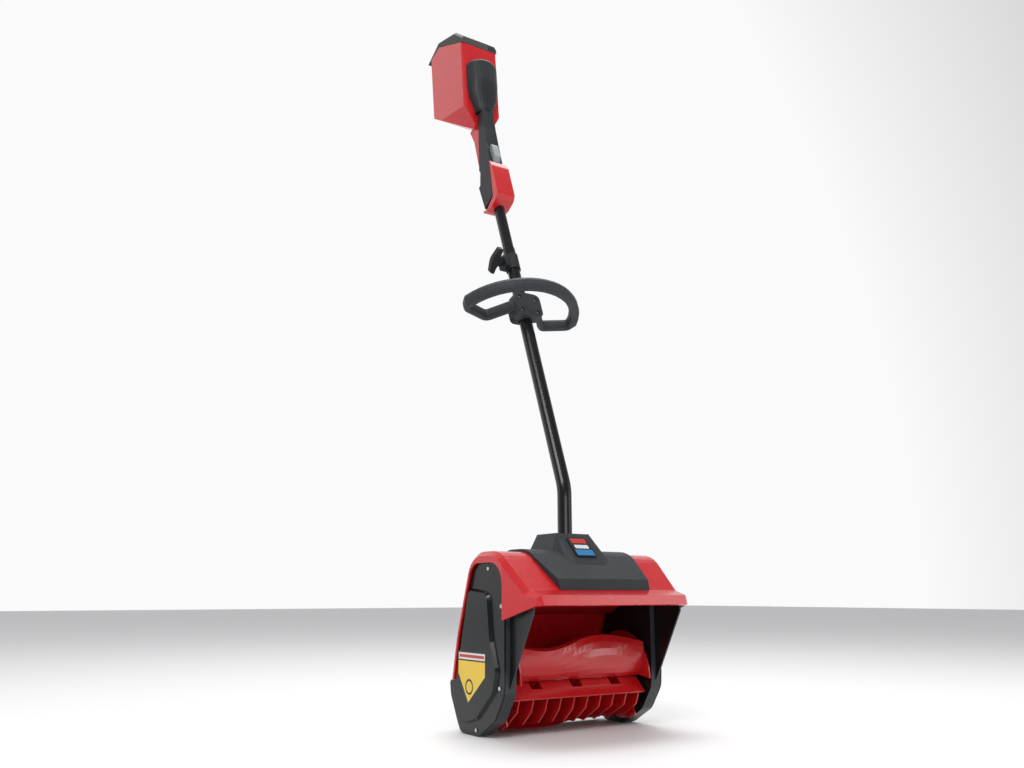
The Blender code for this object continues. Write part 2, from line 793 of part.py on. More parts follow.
def make_paddle(name, way, finish, parent):
    """Half of the rotor. The lower half, way -1, is turned half a turn from the upper one."""
    half = CASE_INNER - ROTOR_END_GAP
    vane = loft([across_x(paddle_section(x, way), x) for x in spread(-half, half, 25)])
    groove = [on_wheel(SHAFT_RADIUS + SEAT_GAP, math.radians(20 * k - 80)) for k in range(9)]
    edge = [
        (-HUB_REACH, 0.001), (-HUB_REACH, 0.006), (-0.014, 0.014), (0.004, HUB_RADIUS),
        (HUB_RADIUS, 0.010), (HUB_RADIUS, 0.001),
    ]
    hub = prism(edge + groove, -half, half)
    outer_rib = half - 0.012
    ribs = [paddle_rib(x, way) for x in spread(-outer_rib, outer_rib, PADDLE_RIBS)]
    arc = [on_wheel(ROTOR_RADIUS * 0.93, math.radians(92 - 15 * k)) for k in range(9)]
    web = [(0.010, 0.012), (0.0, 0.011), (-0.036, 0.0035)]
    discs = [prism(web + arc, *sorted((end * (half - 0.0006), end * (half - 0.0034)))) for end in (-1, 1)]
    between = outer_rib * 2 / 3
    windows = [
        prism(box_outline(0.003, 0.055, -0.002, 0.0125), x - WINDOW_WIDTH / 2, x + WINDOW_WIDTH / 2)
        for x in (-between, 0.0, between)
    ]
    shelf = prism([(0.0365, 0.0015), (0.0610, 0.0260), (0.0590, 0.0280), (0.0345, 0.0045)], -half, half)
    if way < 0:
        for bm in (vane, hub, shelf, *ribs, *discs, *windows):
            turn_about(bm, (0, 0, 0), math.pi)
    paddle = piece(name, vane, finish, parent)
    join(paddle, hub, merged(*ribs), merged(*discs))
    if way < 0:
        join(paddle, shelf)
        cut(paddle, merged(*windows))


def make_rotor(finishes, body):
    make_paddle("rotor_upper_paddle", 1, finishes["rotor_red"], body)
    make_paddle("rotor_lower_paddle", -1, finishes["rotor_red"], body)
    end = CASE_INNER + CASE_WALL + 0.003 + BELT_WIDTH
    piece("rotor_shaft", rod(SHAFT_RADIUS, -end, CASE_INNER + 0.008, steps=16), finishes["steel"], body)


# ---- Shaft ----


def make_lower_tube(finish, parent):
    """The bent tube, its socket in the pod, and the clamp collar with its boss at the top."""
    corner = Vector((0, -SHAFT_AHEAD, BEND_HEIGHT))
    way = Vector((0, math.sin(SHAFT_LEAN), math.cos(SHAFT_LEAN)))
    reach = BEND_RADIUS * math.tan(SHAFT_LEAN / 2)
    centre = corner + Vector((0, BEND_RADIUS, -reach))
    start = Vector((0, -SHAFT_AHEAD, HOOD_TOP + 0.006))
    path = [start]
    for k in range(7):
        angle = SHAFT_LEAN * k / 6
        path.append(centre + Vector((0, -math.cos(angle), math.sin(angle))) * BEND_RADIUS)
    path.append(corner + way * LOWER_TUBE_LENGTH)
    across = Vector((1, 0, 0))
    outer = circle(0, 0, LOWER_TUBE_RADIUS, 20)
    tube = piece("lower_tube", swept(path, outer, across), finish, parent)
    inner = circle(0, 0, LOWER_TUBE_RADIUS - TUBE_WALL, 20)
    bore = [start - Vector((0, 0, 0.01)), *path[1:-1], path[-1] + way * 0.01]
    cut(tube, swept(bore, inner, across))
    return tube


def make_socket(finish, parent):
    base = HOOD_TOP + 0.0006
    bm = sleeve(
        LOWER_TUBE_RADIUS + 0.005,
        LOWER_TUBE_RADIUS + SEAT_GAP,
        base + 0.0055,
        base + 0.026,
        across_z,
        (0, -SHAFT_AHEAD),
    )
    return piece("tube_socket", bm, finish, parent)


def to_knob_frame(outline, low, high):
    """A wing seen along its thickness: (length, reach) pairs, reach going out to -X."""
    return loft([[Vector((-reach, length, depth)) for length, reach in outline] for depth in (low, high)])


def make_knob(finishes, shaft, knob_body):
    outer = LOWER_TUBE_RADIUS + 0.0025
    low, high = KNOB_STATION - 0.019, KNOB_STATION + 0.019
    collar = piece("clamp_collar", rod(outer, low, high, across_z), finishes["matte_black"], shaft)
    boss = prism(
        box_outline(-0.010, 0.016, KNOB_STATION - 0.014, KNOB_STATION + 0.014, 0.004), -outer - 0.008, 0
    )
    bolt = 0.003
    join(collar, boss)
    cut(collar, rod(LOWER_TUBE_RADIUS + SEAT_GAP, low - 0.01, high + 0.01, across_z))
    cut(collar, rod(bolt + SEAT_GAP, -outer - 0.02, -LOWER_TUBE_RADIUS, centre=(0, KNOB_STATION), steps=12))
    face = outer + 0.008 + SEAT_GAP
    piece(
        "knob_bolt",
        rod(bolt, -face - 0.012, -LOWER_TUBE_RADIUS - 0.001, steps=12),
        finishes["steel"],
        knob_body,
    )
    wing = rounded(
        [
            (-0.029, face + 0.012, 0.002), (-0.028, face + 0.022, 0.003), (0.0, face + 0.029, 0.030),
            (0.028, face + 0.022, 0.003), (0.029, face + 0.012, 0.002), (0.010, face + 0.011, 0.006),
            (0.007, face), (-0.007, face), (-0.010, face + 0.011, 0.006),
        ],
        math.radians(20),
    )
    knob = piece("clamp_knob", to_knob_frame(wing, -0.006, 0.006), finishes["matte_black"], knob_body)
    cut(knob, rod(bolt + SEAT_GAP, -face - 0.013, -face + 0.001, steps=12))


def make_loop_handle(finishes, body):
    """The loop round the shaft, with one clamp half on it, and the other half behind the tube."""
    middle = LOOP_RADIUS - LOOP_FRONT
    arc = []
    for k in range(-10, 11):
        angle = LOOP_SWEEP * k / 10
        arc.append((LOOP_RADIUS * math.sin(angle), middle - LOOP_RADIUS * math.cos(angle)))
    corner_x, corner_y = arc[-1]
    root = (0.0265, -0.0125)
    corners = [
        root,
        (corner_x, corner_y),
        (corner_x - 0.002, corner_y + 0.015, 0.009),
        (0.068, 0.038, 0.012),
    ]
    right = rounded(corners, math.radians(30))[2:] + [root]
    path = [(-x, y) for x, y in right[::-1]] + arc + right
    slim = [0.68] * len(right)
    shares = slim + [1.0] * len(arc) + slim
    section = rounded(
        [(-LOOP_BAR_WIDTH / 2, -LOOP_BAR_HEIGHT / 2, 0.008), (LOOP_BAR_WIDTH / 2, -LOOP_BAR_HEIGHT / 2, 0.008),
         (LOOP_BAR_WIDTH / 2, LOOP_BAR_HEIGHT / 2, 0.008), (-LOOP_BAR_WIDTH / 2, LOOP_BAR_HEIGHT / 2, 0.008)],
        math.radians(45),
    )
    bar = swept([Vector((x, y, AUX_STATION)) for x, y in path], section, Vector((0, 0, 1)), shares)
    loop = piece("loop_handle", bar, finishes["grey"], body)
    half = CLAMP_WIDTH / 2
    low, high = AUX_STATION - CLAMP_HEIGHT / 2, AUX_STATION + CLAMP_HEIGHT / 2
    front = box_outline(-half, half, low, high, 0.012)
    join(loop, prism(front, -CLAMP_DEPTH, -SEAT_GAP, across_y))
    bore = LOWER_TUBE_RADIUS + SEAT_GAP
    cut(loop, rod(bore, low - 0.01, high + 0.01, across_z))
    inner = half - 0.003
    rear = piece(
        "clamp_rear_half",
        prism(
            box_outline(-inner + 0.004, inner - 0.004, low + 0.004, high - 0.004, 0.008),
            SEAT_GAP,
            CLAMP_DEPTH * 0.8,
            across_y,
        ),
        finishes["matte_black"],
        body,
    )
    cut(rear, rod(bore, low - 0.01, high + 0.01, across_z))
    places = [(x, AUX_STATION + z) for x in (-0.019, 0.019) for z in (-0.016, 0.016)]
    holes = [
        rod(SCREW_RADIUS + HOLE_GAP, -CLAMP_DEPTH - 0.01, 0.002, across_y, place, 12) for place in places
    ]
    sinks = [
        rod(SCREW_HEAD_RADIUS + FREE_GAP, -CLAMP_DEPTH - 0.01, -CLAMP_DEPTH + 0.004, across_y, place, 12)
        for place in places
    ]
    cut(loop, merged(*holes), merged(*sinks))
    holes = [rod(SCREW_RADIUS + HOLE_GAP, -0.001, 0.012, across_y, place, 12) for place in places]
    cut(rear, merged(*holes))
    for number, place in enumerate(places, 1):
        tip = -CLAMP_DEPTH + 0.004 - SEAT_GAP - SCREW_HEAD_HEIGHT
        screw(f"loop_screw_{number}", tip, 0.030, across_y, place, finishes["steel"], body)


# ---- Grip ----


def rear_plane(h):
    """How far the plane between the grip and the housing is from the shaft's axis, at a height."""
    return HOUSING_OFFSET - (h - HOUSING_STATION) * math.tan(SHAFT_LEAN - HOUSING_LEAN)


def grip_outline():
    """The grip's side, as (y, z) above its nose: y grows to the underside."""
    top = 0.268
    return [
        (-0.017, 0.020), (-0.0305, 0.103), (-0.028, 0.117), (-0.026, 0.174), (-0.033, 0.219), (-0.043, top),
        (rear_plane(top) - SEAT_GAP, top), (rear_plane(0.124) - SEAT_GAP, 0.124), (0.019, 0.122), (0.020, 0.094),
        (0.033, 0.088), (0.027, 0.012), (0.015, 0.006),
    ]


def make_grip(finishes, body, trigger_body, lockout_body):
    outline = grip_outline()
    tube = UPPER_TUBE_RADIUS + SEAT_GAP
    for side, way in (("left", -1), ("right", 1)):
        near, far = way * SEAT_GAP / 2, way * GRIP_HALF_WIDTH
        bm = prism(outline, *sorted((near, far)))
        outer = max if way > 0 else min
        edge = outer(vert.co.x for vert in bm.verts)
        bevel_where(bm, lambda co, edge=edge: abs(co.x - edge) < 1e-6, 0.006, 2)
        half = piece(f"grip_{side}_half", bm, finishes["black"], body)
        cheek = [(-0.014, 0.026), (-0.026, 0.098), (0.028, 0.082), (0.023, 0.016)]
        join(half, prism(cheek, *sorted((way * 0.010, way * BODY_HALF_WIDTH))))
        cut(half, rod(tube, -0.01, TUBE_IN_HANDLE + 0.001, across_z, steps=20))
        pocket = TRIGGER_HALF_WIDTH + FREE_GAP
        cut(half, prism(box_outline(0.0065, 0.050, 0.0925, 0.1305), -pocket, pocket))
        slot = LOCKOUT_HALF_WIDTH + FREE_GAP
        cut(
            half,
            prism([(-0.060, 0.1135), (-0.0165, 0.1135), (-0.0165, 0.172), (-0.060, 0.172)], -slot, slot),
        )
        cut(half, prism(box_outline(-0.0135, 0.0035, 0.1315, 0.160), -0.0083, 0.0083))
    block = prism(box_outline(-0.013, 0.003, 0.132, 0.1595), -0.008, 0.008)
    piece("switch_block", block, finishes["matte_black"], body)

    nose = [
        (-0.004, 0.000, 0.003), (-0.028, 0.006, 0.008), (-0.036, 0.016, 0.006), (-0.037, 0.094, 0.020),
        (-0.0345, 0.108, 0.004), (-0.0300, 0.1125), (-0.0309, 0.103), (-0.0174, 0.0195), (0.0146, 0.0056),
        (0.0274, 0.0115), (0.0290, 0.0070, 0.002), (0.0160, 0.000, 0.003),
    ]
    bm = prism(rounded(nose, math.radians(30)), -NOSE_HALF_WIDTH, NOSE_HALF_WIDTH)
    bevel_where(
        bm,
        lambda co: co.y < -0.020 and abs(abs(co.x) - NOSE_HALF_WIDTH) < 1e-6 and co.z < 0.111,
        0.007,
        3,
    )
    cover = piece("nose_cover", bm, finishes["red"], body)
    cut(cover, rod(tube, -0.01, 0.03, across_z, steps=20))

    trigger = rounded(
        [
            (0.014, 0.094),
            (0.022, 0.0935, 0.003),
            (0.034, 0.122, 0.002),
            (0.030, 0.125, 0.001),
            (0.023, 0.112, 0.010),
            (0.014, 0.127),
        ],
        math.radians(30),
    )
    pivot = Vector((0, 0.017, 0.098))
    bm = prism(trigger, -TRIGGER_HALF_WIDTH, TRIGGER_HALF_WIDTH)
    bmesh.ops.translate(bm, verts=bm.verts, vec=-pivot)
    piece("trigger", bm, finishes["matte_black"], trigger_body)

    paddle = rounded(
        [
            (-0.018, 0.1155),
            (-0.0275, 0.1150),
            (-0.0385, 0.126, 0.006),
            (-0.0375, 0.162, 0.006),
            (-0.0300, 0.169, 0.003),
            (-0.0270, 0.160),
            (-0.018, 0.130),
        ],
        math.radians(30),
    )
    pivot = Vector((0, -0.022, 0.119))
    bm = prism(paddle, -LOCKOUT_HALF_WIDTH, LOCKOUT_HALF_WIDTH)
    bevel_where(bm, lambda co: co.y < -0.030, 0.002, 2)
    bmesh.ops.translate(bm, verts=bm.verts, vec=-pivot)
    piece("lockout_paddle", bm, finishes["light_grey"], lockout_body)


def slanted_ellipse(z, half_width, depth, steps=28):
    """A ring of the boot: an ellipse whose axis follows the battery housing's front."""
    centre = rear_plane(z)
    return [
        Vector((half_width * math.cos(a), centre + depth * math.sin(a), z))
        for a in [2 * math.pi * k / steps for k in range(steps)]
    ]


def front_half(bm, gap=SEAT_GAP):
    """Keeps what is ahead of the plane that the grip and the housing meet on."""
    lean = SHAFT_LEAN - HOUSING_LEAN
    normal = Vector((0, math.cos(lean), math.sin(lean)))
    point = Vector((0, HOUSING_OFFSET, HOUSING_STATION)) - normal * gap
    return slice_off(bm, point, normal)


def make_boot(finishes, body):
    start = 0.268 + SEAT_GAP
    ring = front_half(loft([slanted_ellipse(z, 0.0235, 0.0245) for z in (start, start + 0.005)]))
    piece("seam_ring", ring, finishes["matte_black"], body)
    low = start + 0.005 + SEAT_GAP
    stations = [
        (0.0, 0.022, 0.023), (0.012, 0.026, 0.024), (0.036, 0.036, 0.028), (0.052, 0.0385, 0.030), (
            0.070, BOOT_HALF_WIDTH, BOOT_DEPTH
        ),
        (0.118, BOOT_HALF_WIDTH, BOOT_DEPTH), (0.122, BOOT_HALF_WIDTH - 0.0015, BOOT_DEPTH - 0.0015),
    ]
    rings = [slanted_ellipse(low + rise, width, depth) for rise, width, depth in stations]
    piece("boot", front_half(loft(rings)), finishes["black"], body)


# ---- Battery ----


def housing_outline():
    """The housing's side, as (y, z) in its own frame: Y goes back and Z up the slide."""
    deep = HOUSING_DEPTH
    return [
        (0.0, -0.008), (0.014, -0.012), (0.146, 0.086), (deep - 0.004, 0.111), (deep, 0.257), (0.110, 0.271), (0.0, 0.211),
    ]


def cavity_outline(gap):
    """The pocket for the pack. A positive gap draws the pack's own outline."""
    front, back = HOUSING_WALL + gap, HOUSING_DEPTH - HOUSING_WALL - 0.004 - gap
    return [(front, 0.042 + gap), (0.060, 0.046 + gap), (0.146, 0.110 + gap), (back, 0.126 + gap)]


def make_housing(finishes, body, pack_body, latch_body):
    half = HOUSING_HALF_WIDTH
    bm = prism(housing_outline(), -half, half)
    for way in (-1, 1):
        slice_off(bm, Vector((way * half, 0, 0.036)), Vector((way * 4.83, 0.624, -2.73)))
    deep = HOUSING_DEPTH
    bevel_where(
        bm, lambda co: abs(abs(co.x) - half) < 1e-6 and co.y > deep - 0.010 and co.z < 0.260, 0.016, 1
    )
    bevel_where(bm, lambda co: abs(abs(co.x) - half) < 1e-6 and co.y < 0.001, 0.007, 2)
    housing = piece("battery_housing", bm, finishes["red"], body)
    inner = half - HOUSING_WALL
    back = deep - HOUSING_WALL - 0.004
    pocket = cavity_outline(0.0) + [(back, 0.320), (HOUSING_WALL, 0.320)]
    bm = prism(pocket, -inner, inner)
    bevel_where(bm, lambda co: abs(abs(co.x) - inner) < 1e-6 and co.y > back - 0.001, 0.014, 1)
    cut(housing, bm)
    spine = [(0.0, 0.015), (0.0, -0.115), (0.010, -0.110), (0.024, -0.040), (0.040, -0.006)]
    join(housing, prism(spine, -0.013, 0.013))

    block = prism(box_outline(0.014, 0.044, 0.0455, 0.0455 + TERMINAL_HEIGHT), -0.018, 0.018)
    piece("terminal_block", block, finishes["matte_black"], body)

    gap = PACK_GAP
    slim = half - HOUSING_WALL - gap
    core = cavity_outline(gap) + [(back - gap, 0.2560), (0.110, 0.2690), (HOUSING_WALL + gap, 0.2105)]
    bm = prism(core, -slim, slim)
    bevel_where(
        bm,
        lambda co: abs(abs(co.x) - slim) < 1e-6 and co.y > back - gap - 0.001 and co.z < 0.2565,
        0.015,
        1,
    )
    pack = piece("battery_pack", bm, finishes["grey"], pack_body)
    cap = [
        (0.0, 0.2120), (0.110, 0.2720), (deep, 0.2580), (deep - 0.001, 0.264), (0.112, 0.290), (0.034, 0.264), (0.0, 0.230),
    ]
    bm = prism(cap, -half, half)
    bevel_where(bm, lambda co: any(math.dist(co.yz, point) < 1e-6 for point in cap[3:]), 0.008, 1)
    skirt = [
        (HOUSING_WALL + gap, 0.2080),
        (0.110, 0.2650),
        (back - gap, 0.2500),
        (back - gap, 0.2600),
        (0.110, 0.2740),
        (HOUSING_WALL + gap, 0.2150),
    ]
    join(pack, prism(skirt, -slim + 0.016, slim - 0.016), bm)
    room = box_outline(0.013, 0.045, 0.030, 0.0455 + TERMINAL_HEIGHT + 0.001)
    cut(pack, prism(room, -0.019, 0.019))
    cut(pack, prism(box_outline(-0.010, 0.010, 0.2158, 0.2272), 0.0245, 0.0435))
    piece(
        "battery_latch",
        prism(box_outline(-0.0005, 0.006, 0.2162, 0.2268), 0.025, 0.043),
        finishes["matte_black"],
        latch_body,
    )


# ---- The whole ----


def centre_on_ground(ground):
    """Moves the shovel so that the middle of its footprint box is at the origin."""
    bpy.context.view_layer.update()
    graph = bpy.context.evaluated_depsgraph_get()
    shown = [obj for obj in bpy.data.objects if obj.type == "MESH" and not obj.hide_render]
    corners = []
    for obj in shown:
        solid = obj.evaluated_get(graph)
        corners += [solid.matrix_world @ Vector(corner) for corner in solid.bound_box]
    low = [min(corner[k] for corner in corners) for k in range(3)]
    high = [max(corner[k] for corner in corners) for k in range(3)]
    ground.location = (-(low[0] + high[0]) / 2, -(low[1] + high[1]) / 2, -low[2])


def main():
    clear_scene()
    finishes = make_materials()
    ground = empty("ground")
    rotor_body = empty("rotor_axis", (0, 0, ROTOR_HEIGHT), parent=ground)
    motor_body = empty("motor_axis", (0, -MOTOR_AHEAD, MOTOR_HEIGHT), parent=ground)
    shaft = empty("shaft_axis", (0, -SHAFT_AHEAD, BEND_HEIGHT), SHAFT_LEAN, ground)
    knob_body = empty("knob_axis", (0, 0, KNOB_STATION), math.radians(28), shaft)
    handle = empty("handle_frame", (0, 0, HANDLE_STATION), parent=shaft)
    trigger_body = empty("trigger_pivot", (0, 0.017, 0.098), parent=handle)
    lockout_body = empty("lockout_pivot", (0, -0.022, 0.119), parent=handle)
    housing_place = (0, HOUSING_OFFSET, HOUSING_STATION)
    housing = empty("housing_frame", housing_place, HOUSING_LEAN - SHAFT_LEAN, handle)

    make_hood(finishes["red"], ground)
    make_motor_cover(finishes["grey"], ground)
    make_label_plate(finishes["label"], ground)
    for way in (-1, 1):
        make_side(way, finishes, ground)
    make_chamber(finishes, ground)
    make_drive(finishes, ground, motor_body, rotor_body)
    make_rotor(finishes, rotor_body)
    make_lower_tube(finishes["tube"], ground)
    make_socket(finishes["matte_black"], ground)
    make_knob(finishes, shaft, knob_body)
    upper = sleeve(
        UPPER_TUBE_RADIUS, UPPER_TUBE_RADIUS - TUBE_WALL, LOWER_TUBE_LENGTH - UPPER_TUBE_OVERLAP,
        HANDLE_STATION + TUBE_IN_HANDLE, across_z, steps=20,
    )
    piece("upper_tube", upper, finishes["tube"], shaft)
    make_loop_handle(finishes, shaft)
    make_grip(finishes, handle, trigger_body, lockout_body)
    make_boot(finishes, handle)
    make_housing(finishes, housing, housing, housing)
    centre_on_ground(ground)


main()
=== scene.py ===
"""The looks of a cordless snow shovel: finishes, labels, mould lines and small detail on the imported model."""

import json
import math

import bmesh
import bpy
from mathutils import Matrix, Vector


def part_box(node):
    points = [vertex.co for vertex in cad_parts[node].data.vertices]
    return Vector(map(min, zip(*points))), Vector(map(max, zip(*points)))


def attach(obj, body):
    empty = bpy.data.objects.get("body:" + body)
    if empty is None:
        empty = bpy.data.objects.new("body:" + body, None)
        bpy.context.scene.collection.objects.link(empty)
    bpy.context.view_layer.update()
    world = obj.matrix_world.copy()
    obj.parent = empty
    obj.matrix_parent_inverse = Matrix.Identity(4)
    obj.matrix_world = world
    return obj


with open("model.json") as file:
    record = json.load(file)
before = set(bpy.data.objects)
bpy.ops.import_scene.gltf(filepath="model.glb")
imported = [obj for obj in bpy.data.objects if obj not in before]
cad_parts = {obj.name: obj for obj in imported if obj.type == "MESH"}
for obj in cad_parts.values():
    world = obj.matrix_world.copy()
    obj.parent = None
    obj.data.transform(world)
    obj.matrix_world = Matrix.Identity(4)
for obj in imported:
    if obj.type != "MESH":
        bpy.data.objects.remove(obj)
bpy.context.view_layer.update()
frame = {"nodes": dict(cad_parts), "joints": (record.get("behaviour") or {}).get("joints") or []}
nodes = frame["nodes"]

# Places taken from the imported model.
HOOD_LOW, HOOD_HIGH = (Vector(corner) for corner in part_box("hood_shell"))
ROTOR = next(joint for joint in frame["joints"] if joint["name"] == "rotor_spin")
ROTOR_AT = Vector(ROTOR["pos_m"])

# Mould edges.
SHARP_ANGLE = math.radians(32)
EDGE_ANGLE = math.radians(28)
EDGE_SEGMENTS = 2

# Printed films, as heights out of the surface below.
COVER_FILM_FOOT = 0.00005
COVER_EDGE_FILM = 0.00015
COVER_FIELD_FILM = 0.00022
COVER_PRINT_FILM = 0.00028
PLATE_STANDOFF = 0.0003
PLATE_FILM = (0.0009, 0.0011)
PLATE_PRINT = (0.0011, 0.0013)
PLATE_MARGIN = 0.002

# Round label on a cover, from the rotor's axis and the ground.
RING_CENTRE = (0.027, 0.078)
RING_OUTER = 0.0130
RING_INNER = 0.0095

# Raised band on the lip.
BAND_DROP = 0.0885  # its foot, below the hood's top
BAND_INSET = 0.0005  # behind the lip's front
BAND_SLOPE = Vector((0, 0.0037, 0.0160))
BAND_DEPTHS = (-0.0012, 0.0004)
BAND_EDGE = 0.0003

# Finishes.
COAT_ROUGHNESS = 0.12
LIGHT_SPECULAR = 0.5
DARK_SPECULAR = 0.26
DARK_BELOW = 0.2  # a colour with no channel above this counts as dark
BUMP_STRENGTH = 0.35
BUMP_DISTANCE = 0.0002

FLOOR_REACH = 14.0
FLOOR_DROP = 0.0002


# ---- Finishes ----


def node_of(tree, kind, **inputs):
    made = tree.nodes.new(kind)
    for name, value in inputs.items():
        made.inputs[name.replace("_", " ")].default_value = value
    return made


def noise(tree, coords, scale, detail, roughness):
    made = node_of(tree, "ShaderNodeTexNoise", Scale=scale, Detail=detail, Roughness=roughness)
    tree.links.new(coords, made.inputs["Vector"])
    return made.outputs["Fac"]


def ramp(tree, source, low, high, first=(0, 0, 0, 1), last=(1, 1, 1, 1)):
    made = tree.nodes.new("ShaderNodeValToRGB")
    made.color_ramp.elements[0].position = low
    made.color_ramp.elements[1].position = high
    made.color_ramp.elements[0].color = first
    made.color_ramp.elements[1].color = last
    tree.links.new(source, made.inputs["Fac"])
    return made.outputs["Color"]


def mixed(tree, share, first, second):
    """A colour between two, by a share. Each colour is a tuple or a socket."""
    made = tree.nodes.new("ShaderNodeMix")
    made.data_type = "RGBA"
    for value, index in ((first, 6), (second, 7)):
        if isinstance(value, tuple):
            made.inputs[index].default_value = (*value, 1.0)
        else:
            tree.links.new(value, made.inputs[index])
    if isinstance(share, float):
        made.inputs[0].default_value = share
    else:
        tree.links.new(share, made.inputs[0])
    return made.outputs[2]


def maths(tree, operation, first, second=0.0):
    made = tree.nodes.new("ShaderNodeMath")
    made.operation = operation
    for value, index in ((first, 0), (second, 1)):
        if isinstance(value, float):
            made.inputs[index].default_value = value
        else:
            tree.links.new(value, made.inputs[index])
    return made.outputs[0]


def finish(name, color, roughness, grain, mottle, wear=0.2, depth=0.0, metallic=0.0, coat=0.0):
    """A moulded or painted finish: slow colour variation, handling marks in the gloss, and a fine grain."""
    made = bpy.data.materials.new(name)
    made.use_nodes = True
    tree = made.node_tree
    shader = tree.nodes["Principled BSDF"]
    shader.inputs["Metallic"].default_value = metallic
    shader.inputs["Coat Weight"].default_value = coat
    shader.inputs["Coat Roughness"].default_value = COAT_ROUGHNESS
    specular = LIGHT_SPECULAR if max(color) > DARK_BELOW else DARK_SPECULAR
    shader.inputs["Specular IOR Level"].default_value = specular
    coords = tree.nodes.new("ShaderNodeTexCoord").outputs["Object"]
    slow = noise(tree, coords, scale=9.0, detail=4.0, roughness=0.6)
    darker = tuple(value * (1 - mottle) for value in color)
    lighter = tuple(min(1.0, value * (1 + mottle)) for value in color)
    shade = mixed(tree, ramp(tree, slow, 0.3, 0.7), darker, lighter)
    tree.links.new(shade, shader.inputs["Base Color"])
    marks = noise(tree, coords, scale=24.0, detail=3.0, roughness=0.5)
    spread = maths(tree, "MULTIPLY", maths(tree, "SUBTRACT", marks, 0.5), wear)
    rough = maths(tree, "ADD", spread, roughness)
    tree.links.new(rough, shader.inputs["Roughness"])
    bump = node_of(tree, "ShaderNodeBump", Strength=BUMP_STRENGTH, Distance=BUMP_DISTANCE + depth)
    fine = noise(tree, coords, scale=grain, detail=2.0, roughness=0.5)
    tree.links.new(fine, bump.inputs["Height"])
    tree.links.new(bump.outputs["Normal"], shader.inputs["Normal"])
    return made


def brushed(name, color, roughness):
    """Metal with marks drawn out along X."""
    made = finish(name, color, roughness, grain=900.0, mottle=0.08, metallic=1.0)
    tree = made.node_tree
    shader = tree.nodes["Principled BSDF"]
    coords = tree.nodes.new("ShaderNodeTexCoord").outputs["Object"]
    mapping = tree.nodes.new("ShaderNodeMapping")
    mapping.inputs["Scale"].default_value = (1.0, 30.0, 30.0)
    tree.links.new(coords, mapping.inputs["Vector"])
    lines = noise(tree, mapping.outputs["Vector"], scale=160.0, detail=3.0, roughness=0.6)
    rough = maths(tree, "ADD", maths(tree, "MULTIPLY", lines, 0.25), roughness - 0.1)
    tree.links.new(rough, shader.inputs["Roughness"])
    return made


RED = (0.52, 0.006, 0.010)
DARK_RED = (0.30, 0.005, 0.008)
ROTOR_RED = (0.50, 0.010, 0.012)
GREY = (0.026, 0.030, 0.034)
BLACK = (0.006, 0.007, 0.008)

BATTERY_GREY = (0.045, 0.047, 0.043)
LOOP_GREY = (0.032, 0.036, 0.040)
MATTE_BLACK = (0.012, 0.013, 0.014)
BOOT_BLACK = (0.020, 0.022, 0.024)
TUBE_BLACK = (0.008, 0.008, 0.009)
PADDLE_GREY = (0.24, 0.27, 0.28)
RUBBER = (0.012, 0.012, 0.012)

finishes = {
    "red": finish("shell_red", RED, 0.27, grain=1500.0, mottle=0.05, wear=0.07, coat=0.30),
    "liner": finish("liner_red", DARK_RED, 0.36, grain=1200.0, mottle=0.08, wear=0.08, coat=0.1),
    "rotor": finish("rotor_red", ROTOR_RED, 0.25, grain=1300.0, mottle=0.08, wear=0.08, coat=0.3),
    "cover": finish("cover_grey", GREY, 0.50, grain=2200.0, mottle=0.12, depth=0.0003),
    "battery": finish("battery_grey", BATTERY_GREY, 0.55, grain=2200.0, mottle=0.12, depth=0.0003),
    "loop": finish("loop_grey", LOOP_GREY, 0.52, grain=2600.0, mottle=0.14, depth=0.0003),
    "gloss": finish("gloss_black", BLACK, 0.20, grain=1400.0, mottle=0.15, wear=0.06, coat=0.1),
    "matte": finish("matte_black", MATTE_BLACK, 0.50, grain=2400.0, mottle=0.2, wear=0.25, depth=0.0002),
    "boot": finish("boot_black", BOOT_BLACK, 0.46, grain=2400.0, mottle=0.15, depth=0.0002),
    "tube": finish("tube_black", TUBE_BLACK, 0.24, grain=1400.0, mottle=0.10, wear=0.06, coat=0.3),
    "paddle_grey": finish("paddle_grey", PADDLE_GREY, 0.42, grain=1800.0, mottle=0.08, depth=0.0001),
    "belt": finish("belt_rubber", RUBBER, 0.75, grain=1500.0, mottle=0.2, depth=0.0003),
    "steel": brushed("plated_steel", (0.55, 0.56, 0.57), 0.30),
    "can": brushed("motor_can", (0.35, 0.35, 0.36), 0.42),
}


def painted_floor_reflection(made, reflection_grey):
    """Keeps the base colour on faces along X and paints the faces turned away from X a lighter grey, a painted
    reflection of the pale floor on the edges and side walls.
    """
    tree = made.node_tree
    shader = tree.nodes["Principled BSDF"]
    first = shader.inputs["Base Color"].links[0].from_socket
    normal = tree.nodes.new("ShaderNodeNewGeometry").outputs["True Normal"]
    split = tree.nodes.new("ShaderNodeSeparateXYZ")
    tree.links.new(normal, split.inputs[0])
    # Mask of the faces turned away from X, which get the painted reflection grey.
    edge = maths(tree, "LESS_THAN", maths(tree, "ABSOLUTE", split.outputs["X"]), 0.5)
    tree.links.new(mixed(tree, edge, first, reflection_grey), shader.inputs["Base Color"])
    return made


# The side case is gloss black; the grey on its edges and side walls is a painted floor reflection, not a second
# paint.
finishes["case"] = painted_floor_reflection(
    finish("case_black", BLACK, 0.30, grain=1200.0, mottle=0.2, depth=0.0002, coat=0.1),
    (0.034, 0.038, 0.042),
)

